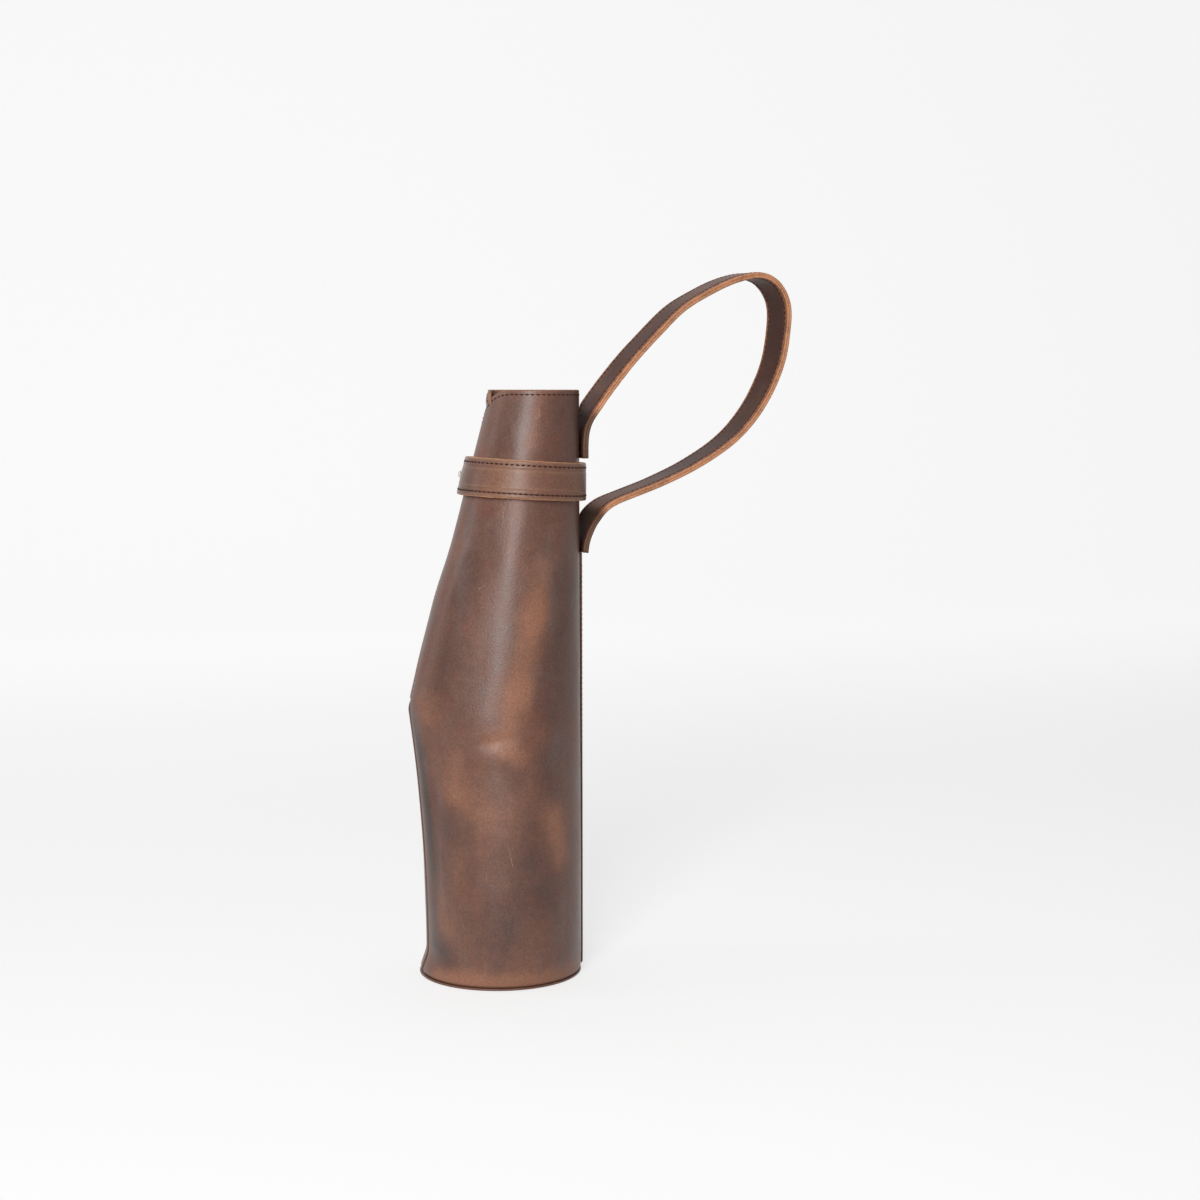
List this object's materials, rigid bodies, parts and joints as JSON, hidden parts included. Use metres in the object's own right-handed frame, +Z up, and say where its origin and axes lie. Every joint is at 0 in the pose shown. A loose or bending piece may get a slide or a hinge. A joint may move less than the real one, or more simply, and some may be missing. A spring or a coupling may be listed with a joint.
{
  "type": "bottle carrier",
  "caption": "Stitched leather sleeve for a wine bottle, with an open front that a buttoned neck strap closes and a long strap handle looped from its spine.",
  "frame": {"origin": "middle of the base's underside, on the floor", "axes": "+Z up along the bottle, +X towards the spine that carries the handle, -X towards the open front; the middle plane is y = 0"},
  "size_m": [0.2191, 0.0919, 0.3693],
  "materials": {
    "body_leather": "waxed pull-up leather, dark reddish brown with lighter orange-brown patches, satin",
    "base_leather": "waxed leather, dark brown",
    "strap_leather": "waxed leather, mid brown, with creased lines and raw tan edges",
    "lining_leather": "waxed leather, grey-brown, with raw orange-tan edges",
    "thread": "waxed thread, dark red-brown",
    "nickel": "polished nickel plate"
  },
  "bodies": {
    "sleeve": {"wrap_panel": "body_leather", "base_disc": "base_leather", "base_seam_thread": "thread", "front_seam_thread": "thread", "spine_strip": "strap_leather", "spine_stitching": "thread", "rim_stitching": "thread", "back_strap_outer": "strap_leather", "back_strap_lining": "lining_leather", "back_strap_stitching": "thread", "handle_ends": "strap_leather"},
    "near_side": {"near_flap": "body_leather", "near_flap_stitching": "thread", "near_strap_outer": "strap_leather", "near_strap_lining": "lining_leather", "near_strap_stitching": "thread"},
    "far_side": {"far_flap": "body_leather", "far_flap_stitching": "thread", "far_strap_outer": "strap_leather", "far_strap_lining": "lining_leather", "far_strap_stitching": "thread", "stud": "nickel", "stud_screw": "nickel"},
    "tab": {"tab_outer": "strap_leather", "tab_lining": "lining_leather", "tab_stitching": "thread"},
    "handle": {"handle_outer": "strap_leather", "handle_lining": "lining_leather", "handle_stitching": "thread"}
  },
  "joints": [
    {"name": "near_flap_hinge", "type": "hinge", "parent": "sleeve", "child": "near_side", "pos_m": [0.00544, -0.03296, 0.2], "axis": [0.1322, 0.0936, 0.9868], "range_deg": [0, 40]},
    {"name": "far_flap_hinge", "type": "hinge", "parent": "sleeve", "child": "far_side", "pos_m": [0.00544, 0.03296, 0.2], "axis": [0.1322, -0.0936, 0.9868], "range_deg": [-40, 0]},
    {"name": "tab_hinge", "type": "hinge", "parent": "near_side", "child": "tab", "pos_m": [-0.0169, -0.00279, 0.26124], "axis": [0.2581, 0.0043, 0.9661], "range_deg": [0, 80], "deforming": ["tab_outer", "tab_lining", "tab_stitching"]},
    {"name": "handle_swing", "type": "hinge", "parent": "sleeve", "child": "handle", "pos_m": [0.0425, 0, 0.24], "axis": [0, 0, 1], "range_deg": [-52, 18], "deforming": ["handle_ends"]}
  ],
  "couplings": [
    {"joint": "near_flap_hinge", "follows": "tab_hinge", "ratio": 0.5},
    {"joint": "far_flap_hinge", "follows": "tab_hinge", "ratio": -0.5}
  ]
}
